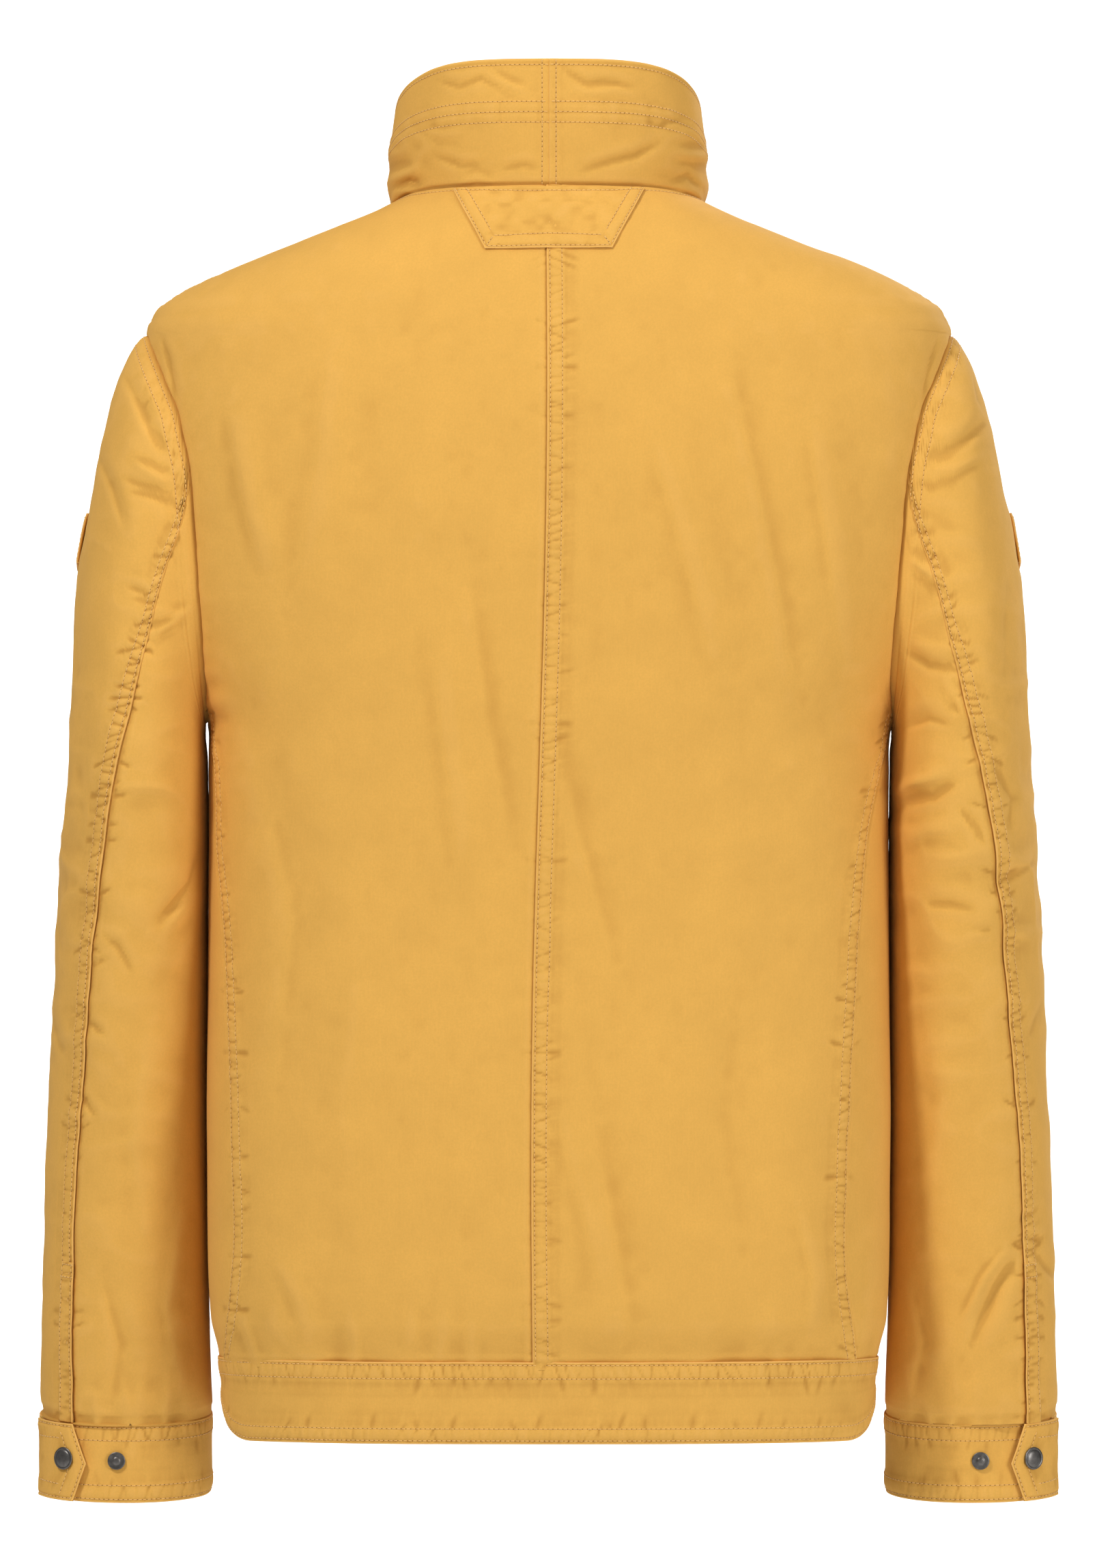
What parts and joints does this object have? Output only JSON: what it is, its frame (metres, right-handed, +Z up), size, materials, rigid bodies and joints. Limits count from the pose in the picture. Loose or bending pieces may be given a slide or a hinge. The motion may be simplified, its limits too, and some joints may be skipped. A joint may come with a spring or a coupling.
{
  "type": "jacket",
  "caption": "Mustard cotton blouson jacket with a stand collar, front zip, hem band, two-piece sleeves, snapped cuff tabs and small sleeve flaps.",
  "frame": {"origin": "the hook point: the underside of the hanger loop's top, inside the back neck", "axes": "+Z up; the zip side faces -Y and the back faces +Y; +X is the wearer's left"},
  "size_m": [0.5766, 0.2681, 0.8095],
  "materials": {
    "shell_cotton": "mustard cotton twill, matt",
    "pocketing": "plain light cotton",
    "facing": "mustard cotton poplin and tape",
    "zip_tape": "woven herringbone tape",
    "zip_metal": "gunmetal plating",
    "snap_metal": "gunmetal plating"
  },
  "bodies": {
    "torso": {"back_panel_left": "shell_cotton", "back_panel_right": "shell_cotton", "side_panel_left": "shell_cotton", "side_panel_right": "shell_cotton", "front_panel_left": "shell_cotton", "front_panel_right": "shell_cotton", "collar_outer_left": "shell_cotton", "collar_outer_right": "shell_cotton", "pocket_welt_left": "shell_cotton", "pocket_welt_right": "shell_cotton", "pocket_bag_left": "pocketing", "pocket_bag_right": "pocketing", "zip_tape_left": "zip_tape", "zip_tape_right": "zip_tape", "zip_teeth_left": "zip_metal", "zip_teeth_right": "zip_metal", "neck_tab": "shell_cotton", "hanger_loop": "facing", "hem_band": "shell_cotton", "collar_inner": "shell_cotton", "neck_facing": "facing", "zip_top_stops": "zip_metal", "zip_box": "zip_metal"},
    "zip_slider_body": {"zip_slider": "zip_metal"},
    "zip_pull_body": {"zip_pull": "zip_metal"},
    "sleeve_left": {"sleeve_upper_left": "shell_cotton", "sleeve_under_left": "shell_cotton", "sleeve_placket_left": "shell_cotton", "cuff_left": "shell_cotton", "cuff_studs_left": "snap_metal", "flap_stud_left": "snap_metal"},
    "cuff_tab_body_left": {"cuff_tab_left": "shell_cotton", "cuff_cap_left": "snap_metal", "cuff_socket_left": "snap_metal"},
    "flap_body_left": {"sleeve_flap_left": "shell_cotton", "flap_cap_left": "snap_metal", "flap_socket_left": "snap_metal"},
    "sleeve_right": {"sleeve_upper_right": "shell_cotton", "sleeve_under_right": "shell_cotton", "sleeve_placket_right": "shell_cotton", "cuff_right": "shell_cotton", "cuff_studs_right": "snap_metal", "flap_stud_right": "snap_metal"},
    "cuff_tab_body_right": {"cuff_tab_right": "shell_cotton", "cuff_cap_right": "snap_metal", "cuff_socket_right": "snap_metal"},
    "flap_body_right": {"sleeve_flap_right": "shell_cotton", "flap_cap_right": "snap_metal", "flap_socket_right": "snap_metal"}
  },
  "joints": [
    {"name": "zip_slide", "type": "slide", "parent": "torso", "child": "zip_slider_body", "axis": [0, -0.1045, -0.9945], "range_m": [0, 0.68]},
    {"name": "zip_pull_swing", "type": "hinge", "parent": "zip_slider_body", "child": "zip_pull_body", "pos_m": [0, -0.15045, 0.01039], "axis": [-1, 0, 0], "range_deg": [0, 120]},
    {"name": "sleeve_swing_left", "type": "hinge", "parent": "torso", "child": "sleeve_left", "pos_m": [0.226, -0.072, -0.073], "axis": [0, -1, 0], "range_deg": [0, 25]},
    {"name": "cuff_tab_open_left", "type": "hinge", "parent": "sleeve_left", "child": "cuff_tab_body_left", "pos_m": [0.2877, -0.10076, -0.703], "axis": [0, 0, -1], "range_deg": [0, 70]},
    {"name": "sleeve_flap_lift_left", "type": "hinge", "parent": "sleeve_left", "child": "flap_body_left", "pos_m": [0.2562, -0.11757, -0.18176], "axis": [-0.2258, -0.8664, -0.4455], "range_deg": [0, 75]},
    {"name": "sleeve_swing_right", "type": "hinge", "parent": "torso", "child": "sleeve_right", "pos_m": [-0.226, -0.072, -0.073], "axis": [0, 1, 0], "range_deg": [0, 25]},
    {"name": "cuff_tab_open_right", "type": "hinge", "parent": "sleeve_right", "child": "cuff_tab_body_right", "pos_m": [-0.2877, -0.10076, -0.703], "axis": [0, 0, 1], "range_deg": [0, 70]},
    {"name": "sleeve_flap_lift_right", "type": "hinge", "parent": "sleeve_right", "child": "flap_body_right", "pos_m": [-0.2562, -0.11757, -0.18176], "axis": [-0.2258, 0.8664, 0.4455], "range_deg": [0, 75]}
  ]
}
